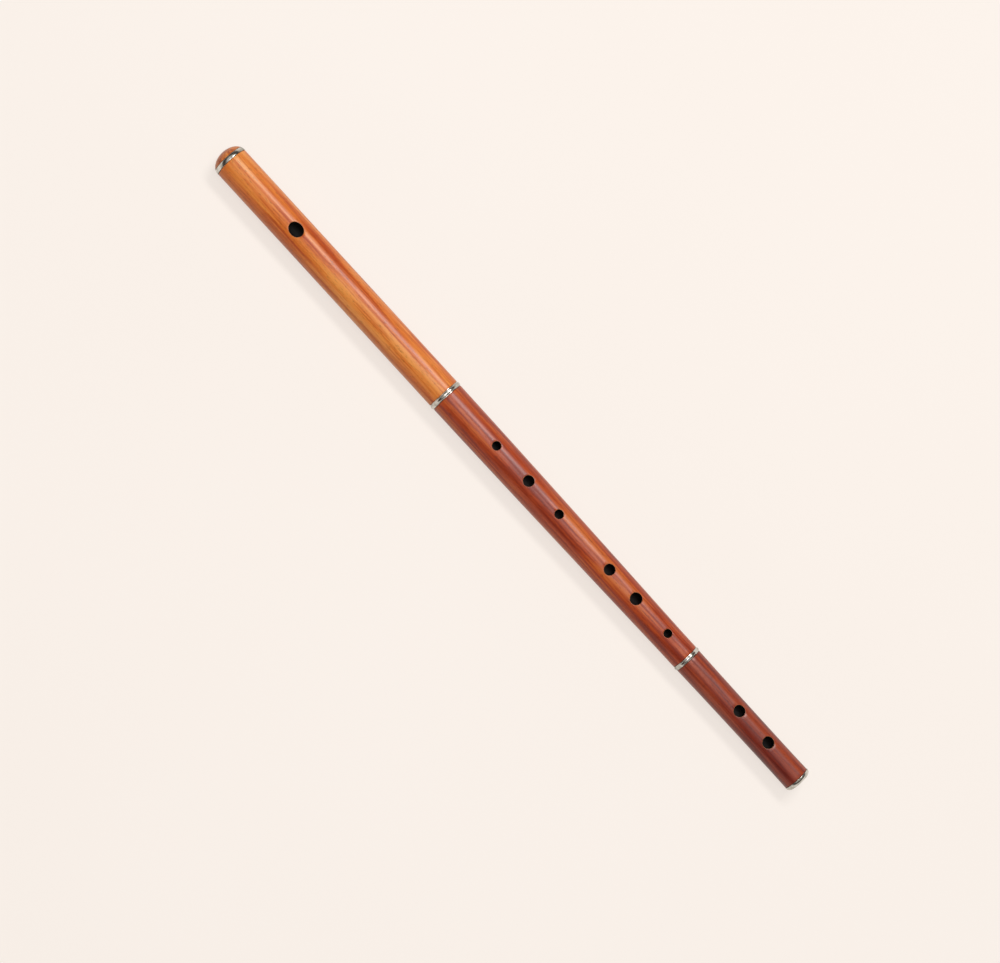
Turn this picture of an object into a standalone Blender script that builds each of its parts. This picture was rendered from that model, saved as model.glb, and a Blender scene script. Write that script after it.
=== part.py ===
"""Keyless wooden flute in three joints, lying along X with its finger holes up.

Metres, +Z up. The crown is at -X and the foot at +X. The origin is under the middle of the flute,
on the surface that its widest ring touches. Places along the flute are stations, measured from
the tip of the crown and rising towards the foot.
"""

import math

import bmesh
import bpy
from mathutils import Matrix

# Clearances and drawing steps
SEAT_GAP = 0.0003  # between any two pieces that touch on the real flute
SIDES = 32  # flats around the tubes, rings and corks
THREAD_SIDES = 12
HOLE_SIDES = 20
ARC_STEPS = 4
TAPER_STEPS = 8

# Lengths of the joints that show, and of the crown's dome
CROWN_HEIGHT = 0.0072
HEAD_LENGTH = 0.2472
BODY_LENGTH = 0.2725
FOOT_LENGTH = 0.1262

# Outside of the wood: the head's diameter, and how much each part is slimmer than the one above
HEAD_DIAMETER = 0.0278
CROWN_STEP = 0.0018
BODY_STEP = 0.0002
BODY_TAPER = 0.0046
BODY_FULLNESS = 1.45  # power of the body's outline: 1 is a straight cone, more is fuller
FOOT_STEP = 0.0003
FOOT_TAPER = 0.0011
FOOT_FLARE = 0.0004
FOOT_WAIST_SHARE = 0.7765  # place of the foot's waist as a share of its length

CROWN_DIAMETER = HEAD_DIAMETER - CROWN_STEP
BODY_TOP_DIAMETER = HEAD_DIAMETER - BODY_STEP
BODY_LOW_DIAMETER = BODY_TOP_DIAMETER - BODY_TAPER
FOOT_TOP_DIAMETER = BODY_LOW_DIAMETER - FOOT_STEP
FOOT_WAIST_DIAMETER = FOOT_TOP_DIAMETER - FOOT_TAPER
FOOT_FLARE_DIAMETER = FOOT_WAIST_DIAMETER + FOOT_FLARE

# Embouchure, an oval seen from above that widens towards the bore
EMBOUCHURE_SHARE = 0.3083  # its place as a share of the head's length
EMBOUCHURE_ALONG = 0.0129
EMBOUCHURE_ACROSS = 0.0107
EMBOUCHURE_UNDERCUT = 0.0005
EMBOUCHURE_TURN = math.radians(6)  # the head is turned this far from the finger holes

# Finger holes in the body and vent holes in the foot, each at a share of its joint's length
FINGER_HOLE_SHARES = (0.1941, 0.3270, 0.4528, 0.6620, 0.7721, 0.9035)
FINGER_HOLE_DIAMETERS = (0.0072, 0.0090, 0.0073, 0.0090, 0.0097, 0.0068)
VENT_HOLE_SHARES = (0.4263, 0.6846)
VENT_HOLE_DIAMETERS = (0.0093, 0.0095)
HOLE_UNDERCUT = 0.0002
VENT_TURN = math.radians(-3)  # the foot is turned this far from the finger holes
DRILL_REACH = 1.2  # a drill comes out this many times the tube's radius from the axis

# Metal rings: length along the flute, how far one stands proud of the wood and how deep it is
# let into it, and that wood's diameter
HEAD_TOP_RING = {"length": 0.0034, "proud": 0.00025, "inset": 0.0016, "wood": HEAD_DIAMETER}
HEAD_SOCKET_RING = {"length": 0.0037, "proud": 0.00065, "inset": 0.0007, "wood": HEAD_DIAMETER}
BODY_SOCKET_RING = {"length": 0.0033, "proud": 0.0005, "inset": 0.0010, "wood": BODY_LOW_DIAMETER}
FOOT_END_RING = {"length": 0.0039, "proud": 0.0003, "inset": 0.0015, "wood": FOOT_FLARE_DIAMETER}
END_ROUNDING = (0.0020, 0.0012)  # rounded outer edge of an end ring, along and across
BEAD_EDGE = 0.3  # share of a bead's height at which its edges start

# Sockets, with the wood left between a socket and its ring, and the tenons in them
HEAD_SOCKET = {"depth": 0.0270, "wall": 0.0012, "ring": HEAD_SOCKET_RING}
BODY_SOCKET = {"depth": 0.0200, "wall": 0.0013, "ring": BODY_SOCKET_RING}
TENON_END_GAP = 0.0006
TENON_RELIEF = 0.0006  # a tenon's wooden bands are this much slimmer than its socket, all round
LAPPING_DEPTH = 0.0008  # depth of the cork's groove below the bands
LAPPING_MARGIN = 0.0030  # wooden band at each end of the groove
LAPPING_CHAMFER = 0.0003

# Bore, straight in the head and narrowing from the body's tenon to the foot's end
HEAD_WALL = 0.0044
BODY_TENON_WALL = 0.0014  # wood left under the cork's groove
FOOT_TENON_WALL = 0.0011
BORE_STEP = 0.00015  # the body's bore ends this much wider than the foot's starts, all round
FOOT_BORE_TAPER = 0.0006

# Crown's tenon, its bush and the stopper's screw
CROWN_TENON_LENGTH = 0.0100
CROWN_WALL = 0.0033  # wood between the tip of the dome and the hole for the screw's end
BUSH_DIAMETER = 0.0084
BUSH_LENGTH = 0.0090
THREAD_PITCH = 0.0010
THREAD_ROOT_DIAMETER = 0.0049
THREAD_CREST_DIAMETER = 0.0060
THREAD_COLLAR = 0.0005  # plain length at each end of the thread
SCREW_TIP_DEPTH = 0.0008  # how far the screw's tip reaches into the crown past the head's end

# Stopper
STOPPER_TO_EMBOUCHURE = 0.0190  # from the stopper's face to the middle of the embouchure
STOPPER_CORK_LENGTH = 0.0220
STOPPER_CHAMFER = 0.0006
FACE_PLATE_THICKNESS = 0.0020
FACE_PLATE_WALL = 0.0008  # metal left in front of the screw's end
BACK_PLATE_THICKNESS = 0.0022
BACK_PLATE_DIAMETER = 0.0150

# Stations that follow from the lengths
HEAD_TOP = CROWN_HEIGHT + SEAT_GAP
HEAD_END = HEAD_TOP + HEAD_LENGTH
BODY_SHOULDER = HEAD_END + SEAT_GAP
BODY_END = BODY_SHOULDER + BODY_LENGTH
FOOT_SHOULDER = BODY_END + SEAT_GAP
FLUTE_LENGTH = FOOT_SHOULDER + FOOT_LENGTH
FOOT_WAIST = FOOT_SHOULDER + FOOT_WAIST_SHARE * FOOT_LENGTH

HEAD_SOCKET_BOTTOM = HEAD_END - HEAD_SOCKET["depth"]
BODY_TENON_TIP = HEAD_SOCKET_BOTTOM + TENON_END_GAP
BODY_SOCKET_BOTTOM = BODY_END - BODY_SOCKET["depth"]
FOOT_TENON_TIP = BODY_SOCKET_BOTTOM + TENON_END_GAP

EMBOUCHURE = HEAD_TOP + EMBOUCHURE_SHARE * HEAD_LENGTH
STOPPER_FACE = EMBOUCHURE - STOPPER_TO_EMBOUCHURE
FACE_PLATE_BACK = STOPPER_FACE - FACE_PLATE_THICKNESS
STOPPER_CORK_FRONT = FACE_PLATE_BACK - SEAT_GAP
STOPPER_CORK_BACK = STOPPER_CORK_FRONT - STOPPER_CORK_LENGTH
BACK_PLATE_FRONT = STOPPER_CORK_BACK - SEAT_GAP
BACK_PLATE_BACK = BACK_PLATE_FRONT - BACK_PLATE_THICKNESS

CROWN_TENON_END = CROWN_HEIGHT + CROWN_TENON_LENGTH
BUSH_START = CROWN_TENON_END - BUSH_LENGTH
SCREW_TIP = HEAD_TOP + SCREW_TIP_DEPTH
SCREW_END = STOPPER_FACE - FACE_PLATE_WALL - SEAT_GAP
THREAD_START = SCREW_TIP + THREAD_COLLAR

for ring in (HEAD_TOP_RING, HEAD_SOCKET_RING, BODY_SOCKET_RING, FOOT_END_RING):
    ring["rim"] = ring["wood"] / 2 + ring["proud"]  # radius of its widest part
    ring["seat"] = ring["wood"] / 2 - ring["inset"]  # radius of the wood inside it
for socket in (HEAD_SOCKET, BODY_SOCKET):
    socket["radius"] = socket["ring"]["seat"] - socket["wall"]
    socket["band"] = socket["radius"] - TENON_RELIEF  # radius of its tenon's wooden bands
    socket["groove"] = socket["band"] - LAPPING_DEPTH

HEAD_BORE_RADIUS = HEAD_DIAMETER / 2 - HEAD_WALL
BODY_BORE_START = HEAD_SOCKET["groove"] - BODY_TENON_WALL
FOOT_BORE_START = BODY_SOCKET["groove"] - FOOT_TENON_WALL
BODY_BORE_END = FOOT_BORE_START + BORE_STEP
FOOT_BORE_END = FOOT_BORE_START - FOOT_BORE_TAPER

HALF_STEP = math.pi / SIDES  # turns each round piece so that a flat is at its lowest
AXIS_HEIGHT = max(HEAD_TOP_RING["rim"], HEAD_SOCKET_RING["rim"]) * math.cos(HALF_STEP)

# Finishes: hex colour, roughness, metallic
LIGHT_ROSEWOOD = ("C87A36", 0.35, 0.0)
ROSEWOOD = ("A24C26", 0.35, 0.0)
DARK_ROSEWOOD = ("8A3C26", 0.35, 0.0)
NICKEL_SILVER = ("CFD0CC", 0.22, 1.0)
BRASS = ("C8A24A", 0.30, 1.0)
CORK = ("C69A66", 0.85, 0.0)


def clear_scene():
    for obj in list(bpy.data.objects):
        bpy.data.objects.remove(obj, do_unlink=True)


def linear_colour(hex_code):
    """Linear RGBA of an sRGB hex colour."""
    channels = [int(hex_code[place : place + 2], 16) / 255 for place in (0, 2, 4)]
    linear = [c / 12.92 if c <= 0.04045 else ((c + 0.055) / 1.055) ** 2.4 for c in channels]
    return (*linear, 1.0)


def give_finish(obj, finish):
    """Gives the object its own material."""
    hex_code, roughness, metallic = finish
    material = bpy.data.materials.new(obj.name)
    material.use_nodes = True
    shader = material.node_tree.nodes["Principled BSDF"]
    shader.inputs["Base Color"].default_value = linear_colour(hex_code)
    shader.inputs["Roughness"].default_value = roughness
    shader.inputs["Metallic"].default_value = metallic
    obj.data.materials.append(material)


def add_frame(name, station, parent=None):
    """An empty on the flute's axis that carries the pieces that move together."""
    frame = bpy.data.objects.new(name, None)
    frame.empty_display_size = HEAD_DIAMETER
    frame["station"] = station
    bpy.context.collection.objects.link(frame)
    if parent:
        frame.parent = parent
        frame.location = (station - parent["station"], 0, 0)
    else:
        frame.location = (station - FLUTE_LENGTH / 2, 0, AXIS_HEIGHT)
    return frame


def add_object(name, bm, frame):
    """An object on the frame from a mesh whose X is the station."""
    bmesh.ops.translate(bm, vec=(-frame["station"], 0, 0), verts=bm.verts)
    bmesh.ops.recalc_face_normals(bm, faces=bm.faces)
    mesh = bpy.data.meshes.new(name)
    bm.to_mesh(mesh)
    bm.free()
    mesh.shade_smooth()
    mesh.set_sharp_from_angle(angle=math.radians(30))
    obj = bpy.data.objects.new(name, mesh)
    obj.parent = frame
    bpy.context.collection.objects.link(obj)
    return obj


def add_piece(name, bm, frame, finish):
    obj = add_object(name, bm, frame)
    give_finish(obj, finish)
    return obj


def cut(obj, cutter):
    """Cuts a hidden solid out of a piece."""
    cutter.hide_render = True
    cutter.display_type = "WIRE"
    boolean = obj.modifiers.new(cutter.name, "BOOLEAN")
    boolean.operation = "DIFFERENCE"
    boolean.solver = "EXACT"
    boolean.object = cutter


def turned(outline):
    """A solid turned about the flute's axis from (station, radius) points.

    The outline closes on itself, unless both its ends lie on the axis.
    """
    bm = bmesh.new()
    verts = [
        bm.verts.new((station, radius * math.sin(HALF_STEP), -radius * math.cos(HALF_STEP)))
        for station, radius in outline
    ]
    pairs = list(zip(verts, verts[1:]))
    if outline[0][1] > 0:
        pairs.append((verts[-1], verts[0]))
    edges = [bm.edges.new(pair) for pair in pairs]
    bmesh.ops.spin(
        bm,
        geom=verts + edges,
        axis=(1, 0, 0),
        angle=2 * math.pi,
        steps=SIDES,
        use_merge=True,
    )
    bmesh.ops.remove_doubles(bm, verts=bm.verts, dist=1e-6)
    return bm


def arc(centre, radii, start, end, steps=ARC_STEPS):
    """Points of an elliptical arc from one angle to the other, in degrees."""
    angles = [math.radians(start + (end - start) * step / steps) for step in range(steps + 1)]
    return [
        (centre[0] + radii[0] * math.cos(angle), centre[1] + radii[1] * math.sin(angle))
        for angle in angles
    ]


def blend(share, first, last):
    return first + (last - first) * share


def body_radius(station):
    """Outer radius of the body: a full taper as far as its socket, and straight over it."""
    share = (station - BODY_SHOULDER) / (BODY_SOCKET_BOTTOM - BODY_SHOULDER)
    share = min(share, 1) ** BODY_FULLNESS
    return blend(share, BODY_TOP_DIAMETER, BODY_LOW_DIAMETER) / 2


def foot_radius(station):
    """Outer radius of the foot, down to its waist and out again to the end ring."""
    if station < FOOT_WAIST:
        share, widest = (FOOT_WAIST - station) / (FOOT_WAIST - FOOT_SHOULDER), FOOT_TOP_DIAMETER
    else:
        share, widest = (station - FOOT_WAIST) / (FLUTE_LENGTH - FOOT_WAIST), FOOT_FLARE_DIAMETER
    return blend(share**2, FOOT_WAIST_DIAMETER, widest) / 2


def body_bore_radius(station):
    share = (station - BODY_TENON_TIP) / (BODY_SOCKET_BOTTOM - BODY_TENON_TIP)
    return blend(share, BODY_BORE_START, BODY_BORE_END)


def foot_bore_radius(station):
    share = (station - FOOT_TENON_TIP) / (FLUTE_LENGTH - FOOT_TENON_TIP)
    return blend(share, FOOT_BORE_START, FOOT_BORE_END)


def stations_between(first, last, steps=TAPER_STEPS):
    return [blend(step / steps, first, last) for step in range(steps + 1)]


def tenon_outline(tip, shoulder, socket):
    """Outer outline of a tenon from its tip to its shoulder, with the groove for its cork."""
    return [
        (tip, socket["band"]),
        (tip + LAPPING_MARGIN, socket["band"]),
        (tip + LAPPING_MARGIN, socket["groove"]),
        (shoulder - LAPPING_MARGIN, socket["groove"]),
        (shoulder - LAPPING_MARGIN, socket["band"]),
        (shoulder, socket["band"]),
    ]


def drill(tube, frame, station, turn, size, undercut, wall):
    """Drills a hole outwards from the bore, turned about the axis from straight up.

    size is (along, across) at the surface, and wall is (bore radius, outer radius) there.
    """
    along, across = size
    bore, outer = wall
    top = DRILL_REACH * outer
    slope = undercut / (outer - bore)
    bm = bmesh.new()
    bmesh.ops.create_cone(
        bm,
        cap_ends=True,
        segments=HOLE_SIDES,
        radius1=across / 2 + slope * outer,
        radius2=across / 2 - slope * (top - outer),
        depth=top,
    )
    bmesh.ops.scale(bm, vec=(along / across, 1, 1), verts=bm.verts)
    bmesh.ops.translate(bm, vec=(0, 0, top / 2), verts=bm.verts)
    bmesh.ops.rotate(bm, matrix=Matrix.Rotation(turn, 3, "X"), verts=bm.verts)
    bmesh.ops.translate(bm, vec=(station, 0, 0), verts=bm.verts)
    cut(tube, add_object(f"{tube.name}_drill", bm, frame))


def add_ring_of_verts(bm, station, radius):
    angles = [2 * math.pi * side / THREAD_SIDES for side in range(THREAD_SIDES)]
    return [
        bm.verts.new((station, radius * math.cos(angle), radius * math.sin(angle)))
        for angle in angles
    ]


def add_thread_columns(bm, start, turns, root, crest):
    """Columns of points along a right-hand thread, each a step round and on from the last.

    Four points make one pitch: two at the root and two at the crest. The ridge rises over its
    first turn and falls over its last. The first column comes again at the end of the list,
    from one pitch further on.
    """
    columns = []
    for side in range(THREAD_SIDES):
        angle = 2 * math.pi * side / THREAD_SIDES
        column = []
        for row in range(4 * turns + (5 if side == 0 else 1)):
            turn = side / THREAD_SIDES + row // 4
            fade = max(0, min(turn, turns - turn, 1))
            radius = root + (crest - root) * fade * (row % 4 > 1)
            station = start + THREAD_PITCH * (turn + row % 4 / 4)
            column.append(
                bm.verts.new((station, radius * math.cos(angle), radius * math.sin(angle)))
            )
        columns.append(column)
    columns.append(columns[0][4:])
    return columns


def threaded(tip, start, turns, growth, shank):
    """A rod with a right-hand thread that starts at a station.

    tip is the station of its plain end, growth is added to both of the thread's radii, and
    shank lists the (station, radius) rings that follow the thread.
    """
    bm = bmesh.new()
    root = THREAD_ROOT_DIAMETER / 2 + growth
    crest = THREAD_CREST_DIAMETER / 2 + growth
    columns = add_thread_columns(bm, start, turns, root, crest)
    last = 4 * turns
    for left, right in zip(columns, columns[1:]):
        for row in range(last):
            bm.faces.new((left[row], right[row], right[row + 1], left[row + 1]))
    low = add_ring_of_verts(bm, tip, root)
    bm.faces.new(low)
    for side in range(THREAD_SIDES - 1):
        bm.faces.new((low[side], low[side + 1], columns[side + 1][0], columns[side][0]))
    bm.faces.new((low[-1], low[0], *columns[0][:5], columns[-2][0]))
    rings = [add_ring_of_verts(bm, station, radius) for station, radius in shank]
    high = rings[0]
    bm.faces.new(
        (columns[0][last], columns[1][last], high[1], high[0], *reversed(columns[0][last + 1 :]))
    )
    for side in range(1, THREAD_SIDES):
        after = (side + 1) % THREAD_SIDES
        bm.faces.new(
            (columns[side][last], columns[side + 1][last], high[after], high[side])
        )
    for lower, upper in zip(rings, rings[1:]):
        for side in range(THREAD_SIDES):
            after = (side + 1) % THREAD_SIDES
            bm.faces.new((lower[side], lower[after], upper[after], upper[side]))
    bm.faces.new(rings[-1])
    return bm


def tap(piece, frame, first, last):
    """Cuts the screw's thread, with its clearance, through a piece between two stations."""
    skipped = math.floor((first - THREAD_START) / THREAD_PITCH) - 2
    start = THREAD_START + skipped * THREAD_PITCH
    turns = math.ceil((last - start) / THREAD_PITCH) + 1
    end = start + (turns + 1) * THREAD_PITCH + THREAD_COLLAR
    root = THREAD_ROOT_DIAMETER / 2 + SEAT_GAP
    cutter = threaded(start - THREAD_COLLAR, start, turns, SEAT_GAP, [(end, root)])
    cut(piece, add_object(f"{piece.name}_tap", cutter, frame))


def end_ring_outline(face, inwards, ring):
    """Section of an end ring from its end face, with a rounded outer edge."""
    inner = ring["seat"] + SEAT_GAP
    outer = ring["rim"]
    along, across = END_ROUNDING
    corner = arc((face + inwards * along, outer - across), (-inwards * along, across), 0, 90)
    back = face + inwards * ring["length"]
    return [(face, inner), *corner, (back, outer), (back, inner)]


def bead_outline(end, ring):
    """Section of a socket's ring: a rounded bead whose lower face is flush with the wood."""
    inner = ring["seat"] + SEAT_GAP
    edge = blend(BEAD_EDGE, ring["wood"] / 2, ring["rim"])
    middle = end - ring["length"] / 2
    bulge = (ring["length"] / 2, ring["rim"] - edge)
    bead = arc((middle, edge), bulge, 180, 0, 2 * ARC_STEPS)
    return [(end - ring["length"], inner), *bead, (end, inner)]


def add_crown(frame):
    dome = arc((CROWN_HEIGHT, 0), (CROWN_HEIGHT, CROWN_DIAMETER / 2), 180, 90, 2 * ARC_STEPS)
    dome[0] = (0, 0)
    tenon = HEAD_BORE_RADIUS - SEAT_GAP
    pocket = BUSH_DIAMETER / 2 + SEAT_GAP
    pocket_end = BUSH_START - SEAT_GAP
    cavity = THREAD_CREST_DIAMETER / 2 + SEAT_GAP
    outline = [
        *dome,
        (CROWN_HEIGHT, tenon),
        (CROWN_TENON_END, tenon),
        (CROWN_TENON_END, pocket),
        (pocket_end, pocket),
        (pocket_end, cavity),
        (CROWN_WALL, cavity),
        (CROWN_WALL, 0),
    ]
    add_piece("crown", turned(outline), frame, LIGHT_ROSEWOOD)


def add_crown_bush(frame):
    radius = BUSH_DIAMETER / 2
    outline = [(BUSH_START, 0), (BUSH_START, radius), (CROWN_TENON_END, radius)]
    bush = add_piece("crown_bush", turned([*outline, (CROWN_TENON_END, 0)]), frame, BRASS)
    tap(bush, frame, BUSH_START, CROWN_TENON_END)


def add_stopper(frame):
    shank = THREAD_CREST_DIAMETER / 2
    turns = math.floor((BACK_PLATE_FRONT - THREAD_START) / THREAD_PITCH) + 1
    thread_end = THREAD_START + (turns + 1) * THREAD_PITCH + THREAD_COLLAR
    rings = [(thread_end, THREAD_ROOT_DIAMETER / 2), (thread_end + SEAT_GAP, shank)]
    screw = threaded(SCREW_TIP, THREAD_START, turns, 0, [*rings, (SCREW_END, shank)])
    add_piece("stopper_screw", screw, frame, BRASS)

    hole = shank + SEAT_GAP
    outer = HEAD_BORE_RADIUS - SEAT_GAP
    edge = outer - STOPPER_CHAMFER
    cork = [
        (STOPPER_CORK_BACK, hole),
        (STOPPER_CORK_BACK, edge),
        (STOPPER_CORK_BACK + STOPPER_CHAMFER, outer),
        (STOPPER_CORK_FRONT - STOPPER_CHAMFER, outer),
        (STOPPER_CORK_FRONT, edge),
        (STOPPER_CORK_FRONT, hole),
    ]
    add_piece("stopper_cork", turned(cork), frame, CORK)

    socket_end = STOPPER_FACE - FACE_PLATE_WALL
    face_plate = [
        (STOPPER_FACE, 0),
        (STOPPER_FACE, outer),
        (FACE_PLATE_BACK, outer),
        (FACE_PLATE_BACK, hole),
        (socket_end, hole),
        (socket_end, 0),
    ]
    add_piece("stopper_face_plate", turned(face_plate), frame, BRASS)

    rim = BACK_PLATE_DIAMETER / 2
    back_plate = [
        (BACK_PLATE_BACK, 0),
        (BACK_PLATE_BACK, rim - STOPPER_CHAMFER),
        (BACK_PLATE_BACK + STOPPER_CHAMFER, rim),
        (BACK_PLATE_FRONT, rim),
        (BACK_PLATE_FRONT, 0),
    ]
    plate = add_piece("stopper_back_plate", turned(back_plate), frame, BRASS)
    tap(plate, frame, BACK_PLATE_BACK, BACK_PLATE_FRONT)


def add_head(frame):
    bore = HEAD_BORE_RADIUS
    outer = HEAD_DIAMETER / 2
    top_seat = HEAD_TOP_RING["seat"]
    top_step = HEAD_TOP + HEAD_TOP_RING["length"] + SEAT_GAP
    end_seat = HEAD_SOCKET_RING["seat"]
    end_step = HEAD_END - HEAD_SOCKET_RING["length"] - SEAT_GAP
    socket = HEAD_SOCKET["radius"]
    outline = [
        (HEAD_TOP, bore),
        (HEAD_TOP, top_seat),
        (top_step, top_seat),
        (top_step, outer),
        (end_step, outer),
        (end_step, end_seat),
        (HEAD_END, end_seat),
        (HEAD_END, socket),
        (HEAD_SOCKET_BOTTOM, socket),
        (HEAD_SOCKET_BOTTOM, bore),
    ]
    tube = add_piece("head_tube", turned(outline), frame, LIGHT_ROSEWOOD)
    size = (EMBOUCHURE_ALONG, EMBOUCHURE_ACROSS)
    drill(tube, frame, EMBOUCHURE, EMBOUCHURE_TURN, size, EMBOUCHURE_UNDERCUT, (bore, outer))
    ring = end_ring_outline(HEAD_TOP, 1, HEAD_TOP_RING)
    add_piece("head_top_ring", turned(ring), frame, NICKEL_SILVER)


def add_body(frame):
    seat = BODY_SOCKET_RING["seat"]
    step = BODY_END - BODY_SOCKET_RING["length"] - SEAT_GAP
    socket = BODY_SOCKET["radius"]
    taper = stations_between(BODY_SHOULDER, BODY_SOCKET_BOTTOM)
    outline = [
        (BODY_TENON_TIP, body_bore_radius(BODY_TENON_TIP)),
        *tenon_outline(BODY_TENON_TIP, BODY_SHOULDER, HEAD_SOCKET),
        *((station, body_radius(station)) for station in taper),
        (step, body_radius(step)),
        (step, seat),
        (BODY_END, seat),
        (BODY_END, socket),
        (BODY_SOCKET_BOTTOM, socket),
        (BODY_SOCKET_BOTTOM, body_bore_radius(BODY_SOCKET_BOTTOM)),
    ]
    tube = add_piece("body_tube", turned(outline), frame, ROSEWOOD)
    for share, diameter in zip(FINGER_HOLE_SHARES, FINGER_HOLE_DIAMETERS):
        station = BODY_SHOULDER + share * BODY_LENGTH
        wall = (body_bore_radius(station), body_radius(station))
        drill(tube, frame, station, 0, (diameter, diameter), HOLE_UNDERCUT, wall)
    ring = bead_outline(BODY_END, BODY_SOCKET_RING)
    add_piece("body_socket_ring", turned(ring), frame, NICKEL_SILVER)


def add_foot(frame):
    seat = FOOT_END_RING["seat"]
    step = FLUTE_LENGTH - FOOT_END_RING["length"] - SEAT_GAP
    taper = stations_between(FOOT_SHOULDER, FOOT_WAIST)
    flare = stations_between(taper[-1], step, ARC_STEPS)[1:]
    outline = [
        (FOOT_TENON_TIP, foot_bore_radius(FOOT_TENON_TIP)),
        *tenon_outline(FOOT_TENON_TIP, FOOT_SHOULDER, BODY_SOCKET),
        *((station, foot_radius(station)) for station in taper + flare),
        (step, seat),
        (FLUTE_LENGTH, seat),
        (FLUTE_LENGTH, foot_bore_radius(FLUTE_LENGTH)),
    ]
    tube = add_piece("foot_tube", turned(outline), frame, DARK_ROSEWOOD)
    for share, diameter in zip(VENT_HOLE_SHARES, VENT_HOLE_DIAMETERS):
        station = FOOT_SHOULDER + share * FOOT_LENGTH
        wall = (foot_bore_radius(station), foot_radius(station))
        drill(tube, frame, station, VENT_TURN, (diameter, diameter), HOLE_UNDERCUT, wall)
    ring = end_ring_outline(FLUTE_LENGTH, -1, FOOT_END_RING)
    add_piece("foot_end_ring", turned(ring), frame, NICKEL_SILVER)


def add_tenon_cork(name, tip, shoulder, socket, frame):
    """The cork lapping in a tenon's groove, which fills the socket but for its clearance."""
    inner = socket["groove"] + SEAT_GAP
    outer = socket["radius"] - SEAT_GAP
    first = tip + LAPPING_MARGIN + SEAT_GAP
    last = shoulder - LAPPING_MARGIN - SEAT_GAP
    outline = [
        (first, inner),
        (first, outer - LAPPING_CHAMFER),
        (first + LAPPING_CHAMFER, outer),
        (last - LAPPING_CHAMFER, outer),
        (last, outer - LAPPING_CHAMFER),
        (last, inner),
    ]
    add_piece(name, turned(outline), frame, CORK)


def main():
    clear_scene()
    body = add_frame("body_frame", BODY_SHOULDER)
    head_slide = add_frame("head_slide_frame", HEAD_END, body)
    head = add_frame("head_frame", HEAD_END, head_slide)
    crown = add_frame("crown_frame", HEAD_TOP, head)
    stopper = add_frame("stopper_frame", STOPPER_FACE, head)
    foot_slide = add_frame("foot_slide_frame", FOOT_SHOULDER, body)
    foot = add_frame("foot_frame", FOOT_SHOULDER, foot_slide)

    add_body(body)
    add_tenon_cork("body_tenon_cork", BODY_TENON_TIP, BODY_SHOULDER, HEAD_SOCKET, body)
    ring = bead_outline(HEAD_END, HEAD_SOCKET_RING)
    add_piece("head_socket_ring", turned(ring), head_slide, NICKEL_SILVER)
    add_head(head)
    add_crown(crown)
    add_crown_bush(crown)
    add_stopper(stopper)
    add_tenon_cork("foot_tenon_cork", FOOT_TENON_TIP, FOOT_SHOULDER, BODY_SOCKET, foot_slide)
    add_foot(foot)


main()
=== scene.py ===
# %% [markdown]
# # A keyless wooden flute
#
# The real flute is a set of turned pieces: a crown, three wooden tubes, four metal rings and the
# corks between them. All of them were made on a lathe, so this lesson makes them the way a lathe
# does, from half a section that is swung once round the flute's axis. The solid model gives the
# sizes, and this script gives each piece rounder sides, softer edges and a finish.

import math

import bpy
from mathutils import Matrix, Vector


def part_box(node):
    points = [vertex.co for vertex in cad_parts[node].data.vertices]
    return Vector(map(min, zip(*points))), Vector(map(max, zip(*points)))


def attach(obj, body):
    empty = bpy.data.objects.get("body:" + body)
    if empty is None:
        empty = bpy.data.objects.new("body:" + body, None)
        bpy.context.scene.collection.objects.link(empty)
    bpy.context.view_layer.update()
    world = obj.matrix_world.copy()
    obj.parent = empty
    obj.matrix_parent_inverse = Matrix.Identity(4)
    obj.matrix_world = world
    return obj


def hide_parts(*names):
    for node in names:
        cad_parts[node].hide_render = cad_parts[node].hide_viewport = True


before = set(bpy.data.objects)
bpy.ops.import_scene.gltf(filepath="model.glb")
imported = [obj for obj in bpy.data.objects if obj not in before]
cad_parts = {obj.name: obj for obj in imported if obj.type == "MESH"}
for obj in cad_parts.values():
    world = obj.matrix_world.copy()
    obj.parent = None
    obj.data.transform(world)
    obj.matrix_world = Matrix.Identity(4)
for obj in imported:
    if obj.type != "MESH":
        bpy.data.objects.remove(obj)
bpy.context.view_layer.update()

# %% [markdown]
# ## Places on the flute
#
# A maker measures a flute along its axis. Here too each place is a station, in millimetres from
# the tip of the crown, and a radius from the axis. The axis and the tip come from the solid model,
# so a turned piece lands where its solid is.

# %% Stations and radii
TURNED_SIDES = 144  # enough for a smooth outline, where the solid model has 32 flats
INSIDE_FLATS = math.cos(math.pi / 32)  # a circle that stays inside a 32-sided solid

crown_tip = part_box("crown")[0].x
head_low, head_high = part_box("head_tube")
axis_height = (head_low.z + head_high.z) / 2


def at(station, radius=0.0):
    """The point at this station, straight above the axis by this radius, in metres."""
    return Vector((crown_tip + station / 1000, 0, axis_height + radius / 1000))


def outside(radius):
    """An outer radius, drawn in by a hair so that it stays inside the solid."""
    return radius * INSIDE_FLATS


print("axis", round(1000 * axis_height, 2), "mm above the floor")

# %% [markdown]
# ## Turning
#
# On the lathe a blank spins and the tool follows the outline. Here one point is drawn out into the
# outline by extruding it again and again, and Spin swings that outline round the axis. It could
# also be done with the Screw modifier, but Spin leaves plain mesh that the next steps can cut.

# %% Turn a piece from its outline


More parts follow.
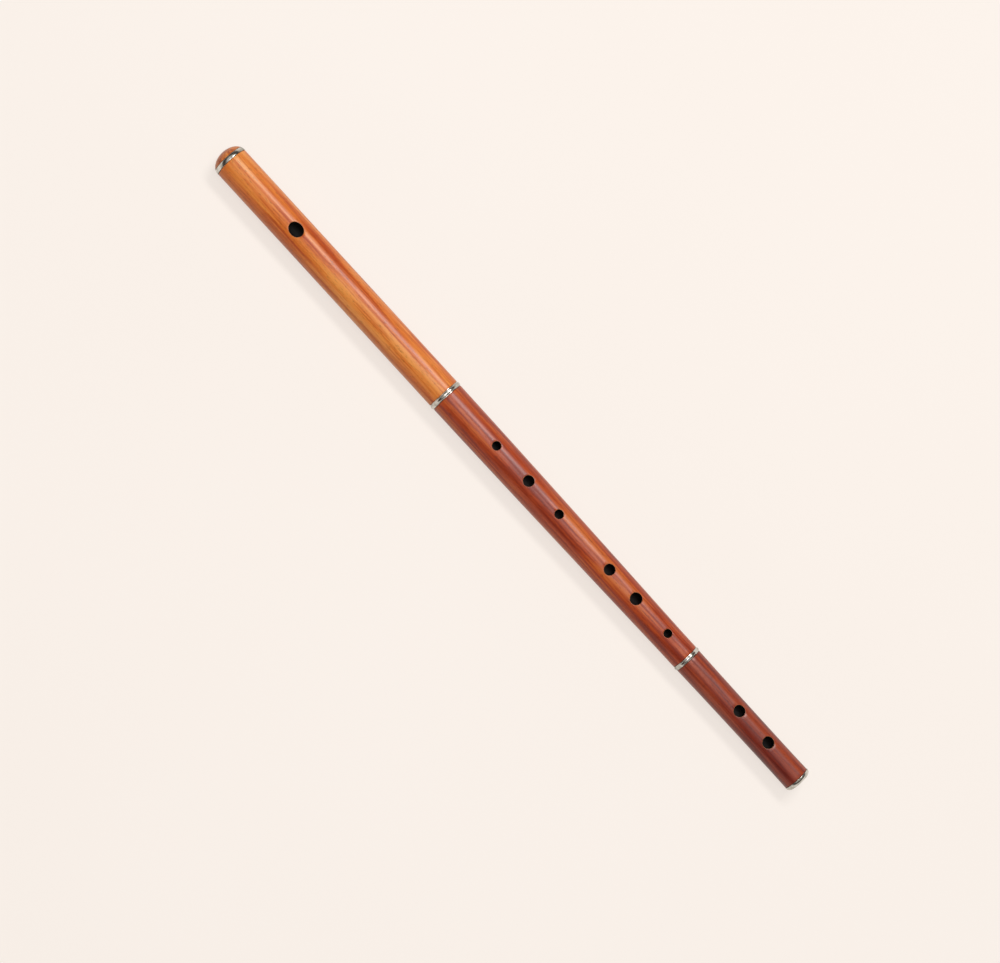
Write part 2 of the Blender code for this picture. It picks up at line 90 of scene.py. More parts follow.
def turn_piece(name, outline):
    """A solid of revolution from (station, radius) points.

    The outline closes on itself, unless it starts and ends on the axis.
    """
    bpy.ops.object.select_all(action="DESELECT")
    bpy.ops.mesh.primitive_circle_add(vertices=3, radius=0.001)
    piece = bpy.context.object
    piece.name = piece.data.name = name
    bpy.ops.object.mode_set(mode="EDIT")
    bpy.ops.mesh.select_all(action="SELECT")
    bpy.ops.mesh.merge(type="CENTER")
    points = [at(*place) for place in outline]
    if outline[0][1] > 0:
        points.append(points[0])
    bpy.ops.transform.translate(value=points[0])
    for here, there in zip(points, points[1:]):
        bpy.ops.mesh.extrude_region_move(TRANSFORM_OT_translate={"value": there - here})
    bpy.ops.mesh.select_all(action="SELECT")
    bpy.ops.mesh.remove_doubles(threshold=1e-6)
    bpy.ops.mesh.spin(steps=TURNED_SIDES, angle=math.tau, center=at(0), axis=(1, 0, 0))
    bpy.ops.mesh.select_all(action="SELECT")
    bpy.ops.mesh.remove_doubles(threshold=1e-6)
    bpy.ops.mesh.normals_make_consistent(inside=False)
    bpy.ops.object.mode_set(mode="OBJECT")
    return piece


# %% Soften its edges


def soften_edges(piece, width, segments=3):
    """Rounds each sharp edge by a width in millimetres."""
    bevel = piece.modifiers.new("edge", "BEVEL")
    bevel.width = width / 1000
    bevel.segments = segments
    bevel.limit_method = "ANGLE"
    bevel.angle_limit = math.radians(40)
    bpy.ops.object.modifier_apply(modifier=bevel.name)


def shade(piece):
    bpy.ops.object.select_all(action="DESELECT")
    piece.select_set(True)
    bpy.context.view_layer.objects.active = piece
    bpy.ops.object.shade_smooth_by_angle(angle=math.radians(35))


def curve(first, last, steps, radius_at):
    """Outline points at even stations, with the outer radius that a function gives."""
    stations = [first + (last - first) * step / steps for step in range(steps + 1)]
    return [(station, outside(radius_at(station))) for station in stations]


def ellipse(centre, along, up, start, end, steps):
    """Outline points on an arc, from one angle to another in degrees."""
    angles = [math.radians(start + (end - start) * step / steps) for step in range(steps + 1)]
    return [(centre[0] + along * math.cos(a), outside(centre[1] + up * math.sin(a))) for a in angles]


# %% [markdown]
# ## Materials
#
# Every finish below is a small network of nodes on one Principled shader. One helper adds a node
# with its settings and links its inputs, and another turns the colours of a paint chart, written
# in hex, into the linear values that a render works with.

# %% Helpers for finishes


def colour(hex_code):
    """Linear RGBA of an sRGB hex colour."""
    channels = [int(hex_code[place : place + 2], 16) / 255 for place in (0, 2, 4)]
    return (*(c / 12.92 if c <= 0.04045 else ((c + 0.055) / 1.055) ** 2.4 for c in channels), 1)


def add_node(tree, kind, inputs, **settings):
    """Adds a node, and sets each of its inputs to a value or links it to a socket."""
    node = tree.nodes.new(kind)
    for setting, value in settings.items():
        setattr(node, setting, value)
    for socket, value in inputs.items():
        if isinstance(value, bpy.types.NodeSocket):
            tree.links.new(value, node.inputs[socket])
        else:
            node.inputs[socket].default_value = value
    return node


def new_finish(name, **shader_values):
    """A material with its Principled shader and the object's own coordinates."""
    material = bpy.data.materials.new(name)
    material.use_nodes = True
    tree = material.node_tree
    shader = tree.nodes["Principled BSDF"]
    for socket, value in shader_values.items():
        shader.inputs[socket.replace("_", " ")].default_value = value
    place = add_node(tree, "ShaderNodeTexCoord", {}).outputs["Object"]
    return material, tree, shader, place


def fill_ramp(ramp, stops):
    """Gives a colour ramp its (position, hex colour) stops."""
    elements = ramp.color_ramp.elements
    while len(elements) < len(stops):
        elements.new(0.5)
    for element, (position, hex_code) in zip(elements, stops):
        element.position = position
        element.color = colour(hex_code)


def grain(tree, place, along, across, turn=0.0, shift=0.0, **noise):
    """Noise drawn out along the flute, with the size of its marks in millimetres."""
    stretched = add_node(
        tree,
        "ShaderNodeMapping",
        {
            "Vector": place,
            "Location": (shift, shift, shift),
            "Rotation": (turn, 0, 0),
            "Scale": (1000 / along, 1000 / across, 1000 / across),
        },
    )
    values = {"Vector": stretched.outputs[0], "Scale": 1.0, **noise}
    return add_node(tree, "ShaderNodeTexNoise", values).outputs["Fac"]


# %% [markdown]
# ## Rosewood
#
# The wood is rosewood, turned along the grain, sanded fine and rubbed with oil. What the eye sees
# is colour that changes slowly over a few centimetres, darker growth lines about two millimetres
# apart, short dark pores, and a soft sheen that breaks up on the fibres. All four are noise that
# is drawn out along the flute, because the fibres run that way. The pores are about a tenth of a
# millimetre wide on the real wood, and are drawn four times as wide so that they show.

# %% Make a rosewood


def make_rosewood(name, stops, shift, line_strength=0.6, roughness=0.33):
    """Oiled rosewood from its colour stops, dark to pale; shift picks another part of the plank."""
    finish, tree, shader, place = new_finish(name, IOR=1.5, Specular_IOR_Level=0.4)
    clouds = grain(tree, place, 90, 9, shift=shift, Detail=3.0, Roughness=0.55)
    streaks = grain(tree, place, 60, 1.7, shift=shift, Detail=3.0, Roughness=0.6)
    fibres = grain(tree, place, 14, 0.45, shift=shift, Detail=2.0, Roughness=0.6)
    pores = grain(tree, place, 4, 0.4, shift=shift, Detail=1.0)

    both = add_node(
        tree, "ShaderNodeMath", {0: streaks, 1: 0.42, 2: 0.0}, operation="MULTIPLY_ADD"
    )
    tree.links.new(
        add_node(tree, "ShaderNodeMath", {0: clouds, 1: 0.75}, operation="MULTIPLY").outputs[0],
        both.inputs[2],
    )
    tone = add_node(
        tree, "ShaderNodeMath", {0: fibres, 1: 0.14, 2: both.outputs[0]}, operation="MULTIPLY_ADD"
    )
    spread = add_node(
        tree,
        "ShaderNodeMapRange",
        {"Value": tone.outputs[0], "From Min": 0.52, "From Max": 0.8},
    )
    ramp = add_node(tree, "ShaderNodeValToRGB", {"Fac": spread.outputs[0]})
    fill_ramp(ramp, stops)

    lined = add_node(
        tree,
        "ShaderNodeMapRange",
        {"Value": streaks, "From Min": 0.34, "From Max": 0.46, "To Min": line_strength, "To Max": 0.0},
    )
    with_lines = add_node(
        tree,
        "ShaderNodeMix",
        {"Factor": lined.outputs[0], 6: ramp.outputs[0], 7: colour(stops[0][1])},
        data_type="RGBA",
    )
    pored = add_node(
        tree,
        "ShaderNodeMapRange",
        {"Value": pores, "From Min": 0.62, "From Max": 0.72, "To Min": 0.0, "To Max": 0.6},
    )
    with_pores = add_node(
        tree,
        "ShaderNodeMix",
        {"Factor": pored.outputs[0], 6: with_lines.outputs[2], 7: colour("4A1C10")},
        data_type="RGBA",
    )
    tree.links.new(with_pores.outputs[2], shader.inputs["Base Color"])
    gloss = add_node(
        tree,
        "ShaderNodeMapRange",
        {"Value": fibres, "To Min": roughness - 0.07, "To Max": roughness + 0.07},
    )
    tree.links.new(gloss.outputs[0], shader.inputs["Roughness"])
    bump = add_node(
        tree, "ShaderNodeBump", {"Height": fibres, "Strength": 0.25, "Distance": 0.00005}
    )
    tree.links.new(bump.outputs[0], shader.inputs["Normal"])
    return finish


head_rosewood = make_rosewood(
    "head_rosewood_oiled", [(0.0, "B64A16"), (0.45, "DC762E"), (1.0, "EE9A4A")], 0.0, 0.5
)
body_rosewood = make_rosewood(
    "body_rosewood_oiled", [(0.0, "862A14"), (0.45, "B0461E"), (1.0, "CC6A2E")], 3.7
)
foot_rosewood = make_rosewood(
    "foot_rosewood_oiled", [(0.0, "641C14"), (0.45, "842E1C"), (1.0, "A44626")], 8.1
)
crown_rosewood = make_rosewood(
    "crown_rosewood_oiled", [(0.0, "96421A"), (0.45, "CC6C28"), (1.0, "E59245")], 5.3
)

# %% [markdown]
# ## Bore and hole edges
#
# The bore is soaked in oil, which darkens it, and its wood is painted nearly black on top of that as
# painted shade inside the tube, its sockets and its holes. A finger hole's edge is worn smooth and
# a shade paler than the wall round it. Each is a finish of its own, which the drills below leave
# on the faces that they cut.

# %% Oiled bore painted near black as shade, and worn edge
# Oiled bore wood, its near-black colour partly painted shade for the inside of the tube and its holes.
bore_oil_and_painted_shade, tree, shader, place = new_finish("bore_wood_oiled_painted_shade", IOR=1.5, Roughness=0.6)
bore_oil_and_shade_tone = add_node(tree, "ShaderNodeValToRGB", {"Fac": grain(tree, place, 20, 1.2, Detail=2.0)})
fill_ramp(bore_oil_and_shade_tone, [(0.3, "0E0705"), (0.7, "22110B")])
tree.links.new(bore_oil_and_shade_tone.outputs[0], shader.inputs["Base Color"])

worn_edge, tree, shader, place = new_finish("hole_edge_worn", IOR=1.5, Roughness=0.3)
worn = add_node(tree, "ShaderNodeValToRGB", {"Fac": grain(tree, place, 6, 1.5, Detail=2.0)})
fill_ramp(worn, [(0.3, "8C4A2A"), (0.7, "B97A50")])
tree.links.new(worn.outputs[0], shader.inputs["Base Color"])

# %% [markdown]
# ## Nickel silver
#
# The rings are nickel silver: copper whitened with nickel, turned and polished. It gives a
# slightly warm grey mirror. Turning leaves fine lines round the ring, about a tenth of a
# millimetre apart, drawn twice as coarse here, and handling leaves dull patches.

# %% Polished nickel silver
nickel_silver, tree, shader, place = new_finish("nickel_silver_polished", Metallic=1.0)
patches = grain(tree, place, 6, 5, Detail=3.0)
tarnish = add_node(tree, "ShaderNodeValToRGB", {"Fac": patches})
fill_ramp(tarnish, [(0.35, "8E8C80"), (0.6, "D3D2CB")])
tree.links.new(tarnish.outputs[0], shader.inputs["Base Color"])
dulled = add_node(
    tree, "ShaderNodeMapRange", {"Value": patches, "To Min": 0.3, "To Max": 0.1}
)
tree.links.new(dulled.outputs[0], shader.inputs["Roughness"])
turning = add_node(
    tree,
    "ShaderNodeTexWave",
    {"Vector": place, "Scale": 0.314 / 0.0002, "Distortion": 0.0},
    bands_direction="X",
)
bump = add_node(
    tree,
    "ShaderNodeBump",
    {"Height": turning.outputs["Fac"], "Strength": 0.15, "Distance": 0.00002},
)
tree.links.new(bump.outputs[0], shader.inputs["Normal"])

# %% [markdown]
# ## Cork and brass
#
# The lappings and the stopper are natural cork, tan with dark pores, and a little waxed. The
# stopper's screw, nut and plates are turned brass. Both stay out of sight until the joints are
# pulled apart.

# %% Waxed cork
cork_finish, tree, shader, place = new_finish("cork_waxed", IOR=1.45, Roughness=0.7)
cells = grain(tree, place, 1.6, 1.6, Detail=4.0, Roughness=0.7)
cork_tone = add_node(tree, "ShaderNodeValToRGB", {"Fac": cells})
fill_ramp(cork_tone, [(0.34, "7A4E2C"), (0.44, "C29463"), (0.7, "D9B483")])
tree.links.new(cork_tone.outputs[0], shader.inputs["Base Color"])
bump = add_node(tree, "ShaderNodeBump", {"Height": cells, "Strength": 0.6, "Distance": 0.0002})
tree.links.new(bump.outputs[0], shader.inputs["Normal"])

# %% Turned brass
brass_finish, tree, shader, place = new_finish("brass_turned", Metallic=1.0)
brass_patches = grain(tree, place, 3, 3, Detail=3.0)
brass_tone = add_node(tree, "ShaderNodeValToRGB", {"Fac": brass_patches})
fill_ramp(brass_tone, [(0.3, "A8813C"), (0.7, "D9B566")])
tree.links.new(brass_tone.outputs[0], shader.inputs["Base Color"])
brass_gloss = add_node(
    tree, "ShaderNodeMapRange", {"Value": brass_patches, "To Min": 0.38, "To Max": 0.2}
)
tree.links.new(brass_gloss.outputs[0], shader.inputs["Roughness"])

# %% [markdown]
# ## Putting a piece in its place
#
# A finished piece moves with one body of the solid model, hides the solid that it stands for, and
# takes the finishes that it is given into its material slots. One function does all of this.

# %% Finish a piece


def finish_piece(piece, node, body, materials):
    """Dresses a turned piece, hands it to its body and hides the solid behind it."""
    for material in materials:
        piece.data.materials.append(material)
    shade(piece)
    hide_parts(node)
    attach(piece, body)
    low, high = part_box(node)
    inside = all(
        low[i] - 1e-5 <= (piece.matrix_world @ Vector(corner))[i] <= high[i] + 1e-5
        for corner in piece.bound_box
        for i in range(3)
    )
    print(piece.name, len(piece.data.polygons), "faces, inside its solid's box:", inside)


def darken_bore(piece, slot_index, inner, margin=0.4):
    """Gives the faces on the bore and in a socket the dark finish: oiled wood, painted near black as
    shade.
    """
    for face in piece.data.polygons:
        station = 1000 * (face.center.x - crown_tip)
        radius = 1000 * math.hypot(face.center.y, face.center.z - axis_height)
        if radius < inner(station) + margin:
            face.material_index = slot_index


# %% [markdown]
# ## Crown
#
# The crown is the turned cap that closes the head. It has a low dome outside, and a tenon inside
# that holds the nut of the stopper's screw. The maker turned the dome with its ring already on, so
# crown and ring share one curve, a quarter of an ellipse that ends where the ring is widest.

# %% Turn the crown
CROWN_EDGE, RING_EDGE = 7.2, 7.5
DOME_TIP, DOME_END, DOME_RADIUS = 0.7, 10.5, 14.15
TENON_RADIUS, TENON_END = 9.2, 17.2
NUT_RADIUS, NUT_SEAT = 4.5, 7.9
SCREW_RADIUS, SCREW_POCKET_END = 3.3, 3.3


def crown_dome(first, last, steps):
    """Outline points on the dome between two stations."""
    length = DOME_END - DOME_TIP
    start, end = (math.degrees(math.acos((DOME_END - edge) / length)) for edge in (first, last))
    return ellipse((DOME_END, 0), -length, DOME_RADIUS, start, end, steps)


crown = turn_piece(
    "crown_dome",
    [
        (DOME_TIP, 0),
        *crown_dome(DOME_TIP, CROWN_EDGE, 24)[1:],
        (CROWN_EDGE, outside(TENON_RADIUS)),
        (TENON_END, outside(TENON_RADIUS)),
        (TENON_END, NUT_RADIUS),
        (NUT_SEAT, NUT_RADIUS),
        (NUT_SEAT, SCREW_RADIUS),
        (SCREW_POCKET_END, SCREW_RADIUS),
        (SCREW_POCKET_END, 0),
    ],
)
soften_edges(crown, 0.25)
finish_piece(crown, "crown", "crown", [crown_rosewood])

# %% [markdown]
# ## Rings
#
# Four metal rings keep the wood from splitting. The one under the crown carries on its dome, the
# one on the foot is turned in over the end of the wood like a shallow cap, and those over the
# sockets are beads between two low edges. They are turned from an outline like the wood, then
# their edges are broken.

# %% Turn the end rings
RING_BACK, RING_SEAT = 10.9, 12.6
head_top_ring = turn_piece(
    "head_cap_ring",
    [
        (RING_EDGE, RING_SEAT),
        *crown_dome(RING_EDGE, DOME_END, 12),
        (RING_BACK, outside(DOME_RADIUS)),
        (RING_BACK, RING_SEAT),
    ],
)
soften_edges(head_top_ring, 0.12)
finish_piece(head_top_ring, "head_top_ring", "head", [nickel_silver])

CAP_BACK, CAP_SHOULDER, LIP_BACK, CAP_FACE = 650.1, 650.5, 652.2, 653.99
LIP_HOLE, LIP_EDGE, CAP_SEAT, CAP_RIM = 6.4, 7.4, 9.8, 11.3
cap_dome = ellipse(
    (CAP_SHOULDER, LIP_EDGE), CAP_FACE - CAP_SHOULDER, CAP_RIM - LIP_EDGE, 0, 90, 16
)
foot_end_ring = turn_piece(
    "foot_cap_ring",
    [
        (CAP_FACE, LIP_HOLE),
        *cap_dome,
        (CAP_BACK, outside(CAP_RIM)),
        (CAP_BACK, CAP_SEAT),
        (LIP_BACK, CAP_SEAT),
        (LIP_BACK, LIP_HOLE),
    ],
)
soften_edges(foot_end_ring, 0.12)
finish_piece(foot_end_ring, "foot_end_ring", "foot", [nickel_silver])

# %% Turn the socket rings


def bead_ring(name, end, length, inner, edge, rim):
    """A ring whose outside is a bead between two low edges."""
    start, lip = end - length, 0.55
    bead = ellipse((end - length / 2, edge), length / 2 - lip, rim - edge, 180, 0, 20)
    low_edge = outside(edge)
    return turn_piece(
        name, [(start, inner), (start, low_edge), *bead, (end, low_edge), (end, inner)]
    )


head_socket_ring = bead_ring("head_socket_bead", 254.7, 3.7, 13.5, 13.95, 14.55)
soften_edges(head_socket_ring, 0.1)
finish_piece(head_socket_ring, "head_socket_ring", "head_carrier", [nickel_silver])

body_socket_ring = bead_ring("body_socket_bead", 527.5, 3.3, 10.8, 11.52, 12.0)
soften_edges(body_socket_ring, 0.1)
finish_piece(body_socket_ring, "body_socket_ring", "body", [nickel_silver])

# %% [markdown]
# ## Wooden tubes
#
# The head is straight, the body narrows in a full curve towards the foot, and the foot has a
# slight waist. Each tube has a step at its end for its ring, a socket or a tenon, and its bore.
# The outlines are drawn with a point every few millimetres, so that the curves stay smooth and
# the drills meet small faces.

# %% Outlines of the three tubes
BODY_SHOULDER, BODY_SOCKET_BOTTOM, BODY_TENON_TIP = 255.0, 507.5, 228.3
FOOT_SHOULDER, FOOT_WAIST, FOOT_END, FOOT_TENON_TIP = 527.8, 625.8, 654.0, 508.1
WOOD_END = 651.9  # the foot's wood stops short of its metal lip


def head_outer(station):
    return 13.9


def body_outer(station):
    share = (station - BODY_SHOULDER) / (BODY_SOCKET_BOTTOM - BODY_SHOULDER)
    return 13.8 - 2.3 * min(share, 1) ** 1.45


def foot_outer(station):
    if station < FOOT_WAIST:
        return 10.8 + 0.55 * ((FOOT_WAIST - station) / (FOOT_WAIST - FOOT_SHOULDER)) ** 2
    return 10.8 + 0.2 * ((station - FOOT_WAIST) / (FOOT_END - FOOT_WAIST)) ** 2


def body_bore(station):
    share = (station - BODY_TENON_TIP) / (BODY_SOCKET_BOTTOM - BODY_TENON_TIP)
    return 9.2 - 2.35 * share


def foot_bore(station):
    return 6.7 - 0.6 * (station - FOOT_TENON_TIP) / (FOOT_END - FOOT_TENON_TIP)


HEAD_BORE, HEAD_SOCKET, HEAD_SOCKET_BOTTOM, HEAD_END = 9.5, 12.0, 227.7, 254.7
head_outline = [
    (RING_EDGE, HEAD_BORE),
    (RING_EDGE, outside(12.3)),
    (11.2, outside(12.3)),
    *curve(11.2, 250.7, 80, head_outer),
    (250.7, outside(13.2)),
    (HEAD_END, outside(13.2)),
    (HEAD_END, HEAD_SOCKET),
    (HEAD_SOCKET_BOTTOM, HEAD_SOCKET),
    (HEAD_SOCKET_BOTTOM, HEAD_BORE),
]


def tenon(tip, shoulder, band, groove):
    """Outline of a tenon: a wooden band at each end of the groove for its cork."""
    band, groove = outside(band), outside(groove)
    return [
        (tip, band),
        (tip + 3, band),
        (tip + 3, groove),
        (shoulder - 3, groove),
        (shoulder - 3, band),
        (shoulder, band),
    ]


body_outline = [
    (BODY_TENON_TIP, body_bore(BODY_TENON_TIP)),
    *tenon(BODY_TENON_TIP, BODY_SHOULDER, 11.4, 10.6),
    *curve(BODY_SHOULDER, 523.9, 90, body_outer),
    (523.9, outside(10.5)),
    (527.5, outside(10.5)),
    (527.5, 9.2),
    (BODY_SOCKET_BOTTOM, 9.2),
    (BODY_SOCKET_BOTTOM, body_bore(BODY_SOCKET_BOTTOM)),
]
foot_outline = [
    (FOOT_TENON_TIP, foot_bore(FOOT_TENON_TIP)),
    *tenon(FOOT_TENON_TIP, FOOT_SHOULDER, 8.6, 7.8),
    *curve(FOOT_SHOULDER, 649.8, 42, foot_outer),
    (649.8, outside(9.5)),
    (WOOD_END, outside(9.5)),
    (WOOD_END, foot_bore(WOOD_END)),
]

# %% [markdown]
# ## Holes
#
# A maker drills a hole, widens it towards the bore, then breaks its sharp edge with a small
# rounding tool that follows the tube's round surface. The cutter here does all three at once. It
# is a stack of rings, extruded one from the other, and its upper rings are bent down at the sides
# as far as the tube falls away there. A Boolean takes it out of the tube.

# %% Make a drill
DRILL_SIDES = 72
EDGE_ROUNDING = [(-0.42, 0.0), (-0.25, 0.03), (-0.12, 0.1), (-0.03, 0.2), (0.06, 0.36), (1.6, 0.6)]


def make_drill(station, turn, along, across, bore, outer, undercut):
    """A cutter for a hole, with its worn edge and its wall as two materials."""
    slope = undercut / (outer - bore)
    start = 0.4 * bore
    rings = [(start, slope * (outer - start))]
    rings += [(outer + rise, growth) for rise, growth in EDGE_ROUNDING]
    bpy.ops.object.select_all(action="DESELECT")
    bpy.ops.mesh.primitive_circle_add(vertices=DRILL_SIDES, radius=1, fill_type="NGON")
    drill = bpy.context.object
    bpy.ops.object.mode_set(mode="EDIT")
    bpy.ops.mesh.select_all(action="SELECT")
    for _ in rings[1:]:
        bpy.ops.mesh.extrude_region_move(TRANSFORM_OT_translate={"value": (0, 0, 1)})
    bpy.ops.object.mode_set(mode="OBJECT")
    # The wall of a hole takes the bore's finish: oiled wood painted near black as shade.
    drill.data.materials.append(bore_oil_and_painted_shade)
    drill.data.materials.append(worn_edge)
    for face in drill.data.polygons:
        face.material_index = 1 if face.center.z > 1.5 else 0
    swing = Matrix.Rotation(turn, 3, "X")
    for vert in drill.data.vertices:
        level = round(vert.co.z)
        height, growth = rings[level]
        x = vert.co.x * (along / 2 + growth)
        y = vert.co.y * (across / 2 + growth)
        if level > 0:
            height += math.sqrt(outer**2 - y**2) - outer
        vert.co = at(station) + swing @ (Vector((x, y, height)) / 1000)
    return drill


def drill_holes(tube, drills):
    """Joins the drills and cuts them out of a tube."""
    bpy.ops.object.select_all(action="DESELECT")
    for drill in drills:
        drill.select_set(True)
    bpy.context.view_layer.objects.active = drills[0]
    bpy.ops.object.join()
    drills[0].select_set(False)
    tube.select_set(True)
    bpy.context.view_layer.objects.active = tube
    cut = tube.modifiers.new("holes", "BOOLEAN")
    cut.operation = "DIFFERENCE"
    cut.solver = "EXACT"
    cut.material_mode = "TRANSFER"
    cut.object = drills[0]
    bpy.ops.object.modifier_apply(modifier=cut.name)
    bpy.data.objects.remove(drills[0], do_unlink=True)


# %% Head, with the embouchure
head = turn_piece("head_joint", head_outline)
soften_edges(head, 0.2)
head.data.materials.append(head_rosewood)
mouth = make_drill(83.71, math.radians(6), 12.9, 10.7, 9.5, outside(13.9), 0.5)
drill_holes(head, [mouth])
print([material.name for material in head.data.materials])
darken_bore(head, 1, lambda station: HEAD_SOCKET if station > HEAD_SOCKET_BOTTOM else HEAD_BORE)
finish_piece(head, "head_tube", "head", [])

# %% Body, with six finger holes
body = turn_piece("body_joint", body_outline)
soften_edges(body, 0.2)
body.data.materials.append(body_rosewood)
finger_drills = [
    make_drill(station, 0, size, size, body_bore(station), outside(body_outer(station)), 0.2)
    for station, size in (
        (307.89, 7.2),
        (344.11, 9.0),
        (378.39, 7.3),
        (435.40, 9.0),
        (465.40, 9.7),
        (501.20, 6.8),
    )
]
drill_holes(body, finger_drills)
darken_bore(body, 1, lambda station: 9.2 if station > BODY_SOCKET_BOTTOM else body_bore(station))
finish_piece(body, "body_tube", "body", [])

# %% Foot, with two vent holes
foot = turn_piece("foot_joint", foot_outline)
soften_edges(foot, 0.2)
foot.data.materials.append(foot_rosewood)
vent_drills = [
    make_drill(
        station, math.radians(-3), size, size, foot_bore(station), outside(foot_outer(station)), 0.2
    )
    for station, size in ((581.60, 9.3), (614.20, 9.5))
]
drill_holes(foot, vent_drills)
darken_bore(foot, 1, foot_bore)
finish_piece(foot, "foot_tube", "foot", [])

# %% [markdown]
# ## Cork lappings
#
# Each tenon carries a sleeve of cork, glued in its groove, with its two edges rubbed down so that
# it slips into the socket.

# %% Turn the lappings


def lapping(name, first, last, inner, outer):
    top = outside(outer)
    return turn_piece(
        name,
        [
            (first, inner),
            (first, top - 0.3),
            (first + 0.3, top),
            *curve(first + 2, last - 2, 6, lambda station: outer - 0.05),
            (last - 0.3, top),
            (last, top - 0.3),
            (last, inner),
        ],
    )


body_lapping = lapping("body_tenon_lapping", 231.6, 251.7, 10.9, 11.7)
finish_piece(body_lapping, "body_tenon_cork", "body", [cork_finish])
foot_lapping = lapping("foot_tenon_lapping", 511.4, 524.5, 8.1, 8.9)
finish_piece(foot_lapping, "foot_tenon_cork", "foot_carrier", [cork_finish])

# %% [markdown]
# ## Stopper
#
# Inside the head a cork stopper sits on a brass screw, and the crown's nut moves it. Nobody sees
# these pieces unless they look in through the embouchure, so the solids stay and take a finish.

# %% Dress the stopper's solids
for node, material in (
    ("stopper_cork", cork_finish),
    ("stopper_face_plate", brass_finish),
    ("stopper_back_plate", brass_finish),
    ("stopper_screw", brass_finish),
    ("crown_bush", brass_finish),
):
    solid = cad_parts[node]
    solid.data.materials.clear()
    solid.data.materials.append(material)

# %% [markdown]
# ## Floor
#
# The flute lies on a pale seamless floor. Its paper is matt, with a very faint tooth. Most of what
# the camera and the metal see of it is its own plain colour, and a quarter is paper lit by the
# lamps, which keeps the flute's shadow. To the light that bounces it is a mid grey, so that the wood's
# lower side stays dark.

# %% Lay the floor
bpy.ops.object.select_all(action="DESELECT")
bpy.ops.mesh.primitive_plane_add(size=30, location=(0, 0, 0))
floor = bpy.context.object
floor.name = "floor"
paper, tree, shader, place = new_finish("paper_matt", Roughness=0.9)
paper_tone = add_node(
    tree, "ShaderNodeValToRGB", {"Fac": grain(tree, place, 400, 400, Detail=2.0)}
)
fill_ramp(paper_tone, [(0.0, "FBF2EA"), (1.0, "FDF5EE")])


def seen_directly(tree):
    """1 for what the camera, a mirror or glass sees, and 0 for light that bounces."""
    ray = add_node(tree, "ShaderNodeLightPath", {}).outputs
    pair = {0: ray["Is Camera Ray"], 1: ray["Is Glossy Ray"]}
    either = add_node(tree, "ShaderNodeMath", pair, operation="MAXIMUM").outputs[0]
    three = {0: either, 1: ray["Is Transmission Ray"]}
    return add_node(tree, "ShaderNodeMath", three, operation="MAXIMUM").outputs[0]


seen = seen_directly(tree)
paper_colour = add_node(
    tree,
    "ShaderNodeMix",
    {"Factor": seen, 6: colour("A89F98"), 7: paper_tone.outputs[0]},
    data_type="RGBA",
)
tree.links.new(paper_colour.outputs[2], shader.inputs["Base Color"])
plain = add_node(
    tree, "ShaderNodeEmission", {"Color": paper_tone.outputs[0], "Strength": 1.0}
)
share = add_node(tree, "ShaderNodeMath", {0: seen, 1: 0.75}, operation="MULTIPLY")
paper_mix = add_node(
    tree, "ShaderNodeMixShader", {0: share.outputs[0], 1: shader.outputs[0], 2: plain.outputs[0]}
)
tree.links.new(paper_mix.outputs[0], tree.nodes["Material Output"].inputs["Surface"])
floor.data.materials.append(paper)

# %% [markdown]
# ## Light
#
# A wide soft box hangs over the flute's far side and draws one soft line along the head, which
# fades towards the foot. A small one behind the camera adds a second, weaker line on the metal.
# The room round them is pale at the floor, dark at its walls and bright at its ceiling, which
# gives the rings their dark and light bands.

# %% Hang the lights
AIM = at(329.6)


def soft_box(name, direction, distance, length, width, radiance, middle=0.0):
    """A rectangular light with its long side along the flute; radiance 1 looks white."""
    spot = AIM + Vector((middle, 0, 0)) + Vector(direction).normalized() * distance
    light = bpy.data.lights.new(name, "AREA")
    light.shape = "RECTANGLE"
    light.size, light.size_y = length, width
    light.energy = radiance * math.pi * length * width
    lamp = bpy.data.objects.new(name, light)
    back = Vector(direction).normalized()
    along = Vector((1, 0, 0))
    facing = Matrix((along, back.cross(along), back)).transposed().to_4x4()
    lamp.matrix_world = Matrix.Translation(spot) @ facing
    bpy.context.scene.collection.objects.link(lamp)
    return lamp


def overhead(degrees):
    """The direction this far from straight up, towards the flute's far side."""
    return 0, math.sin(math.radians(degrees)), math.cos(math.radians(degrees))


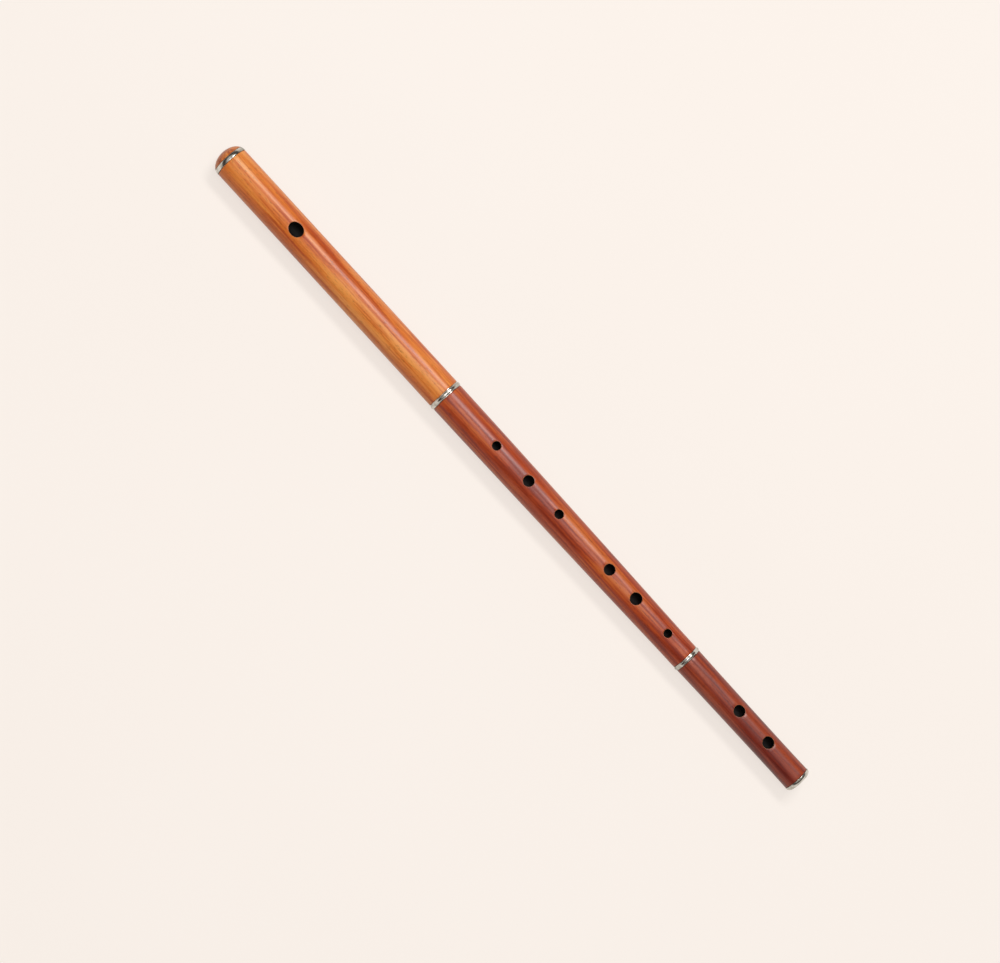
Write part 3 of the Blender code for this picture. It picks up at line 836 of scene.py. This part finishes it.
soft_box("key_box", overhead(26), 2.6, 1.12, 0.5, 19.0, -0.26)
soft_box("fill_box", overhead(-5), 2.6, 0.8, 0.8, 5.0)

# %% Build the room
world = bpy.data.worlds.new("studio_room")
bpy.context.scene.world = world
world.use_nodes = True
tree = world.node_tree
direction = add_node(tree, "ShaderNodeTexCoord", {}).outputs["Generated"]
height = add_node(tree, "ShaderNodeSeparateXYZ", {0: direction}).outputs["Z"]
walls = add_node(tree, "ShaderNodeValToRGB", {"Fac": height})
fill_ramp(walls, [(0.2, "FCF3EC"), (0.34, "484442"), (0.7, "484442"), (0.84, "D8D4D0")])
tree.links.new(walls.outputs[0], tree.nodes["Background"].inputs["Color"])
bpy.context.scene.view_settings.view_transform = "Standard"

# %% [markdown]
# ## Camera
#
# The photograph looks down on the flute from a little over two metres, turned a few degrees
# towards the player's side, and the flute runs across the frame from the upper left to the lower
# right. A 96 mm lens gives the same size in the frame.

# %% Place the camera
LEAN = math.radians(12.7)  # from straight above, towards the side of the player's thumbs
ROLL = math.radians(47.5)  # how far the flute slopes down in the frame
DISTANCE = 2.05
BELOW_AXIS = 0.0136  # the frame's middle lies this far beside the flute's axis
MM_PER_PIXEL = 0.765
FRAME_WIDTH = 1000  # pixels
FILM_WIDTH = 36  # millimetres

towards = Vector((0, -math.sin(LEAN), math.cos(LEAN)))
along = Vector((1, 0, 0))
beside = Vector((0, math.cos(LEAN), math.sin(LEAN)))
right = math.cos(ROLL) * along + math.sin(ROLL) * beside
up = -math.sin(ROLL) * along + math.cos(ROLL) * beside
spot = AIM - BELOW_AXIS * beside + DISTANCE * towards

bpy.ops.object.camera_add(location=spot)
camera = bpy.context.object
camera.matrix_world = Matrix.Translation(spot) @ Matrix((right, up, towards)).transposed().to_4x4()
camera.data.sensor_width = FILM_WIDTH
camera.data.lens = FILM_WIDTH * DISTANCE * 1000 / (MM_PER_PIXEL * FRAME_WIDTH)
camera.data.clip_end = 100
bpy.context.scene.camera = camera
print("lens", round(camera.data.lens, 1), "mm")
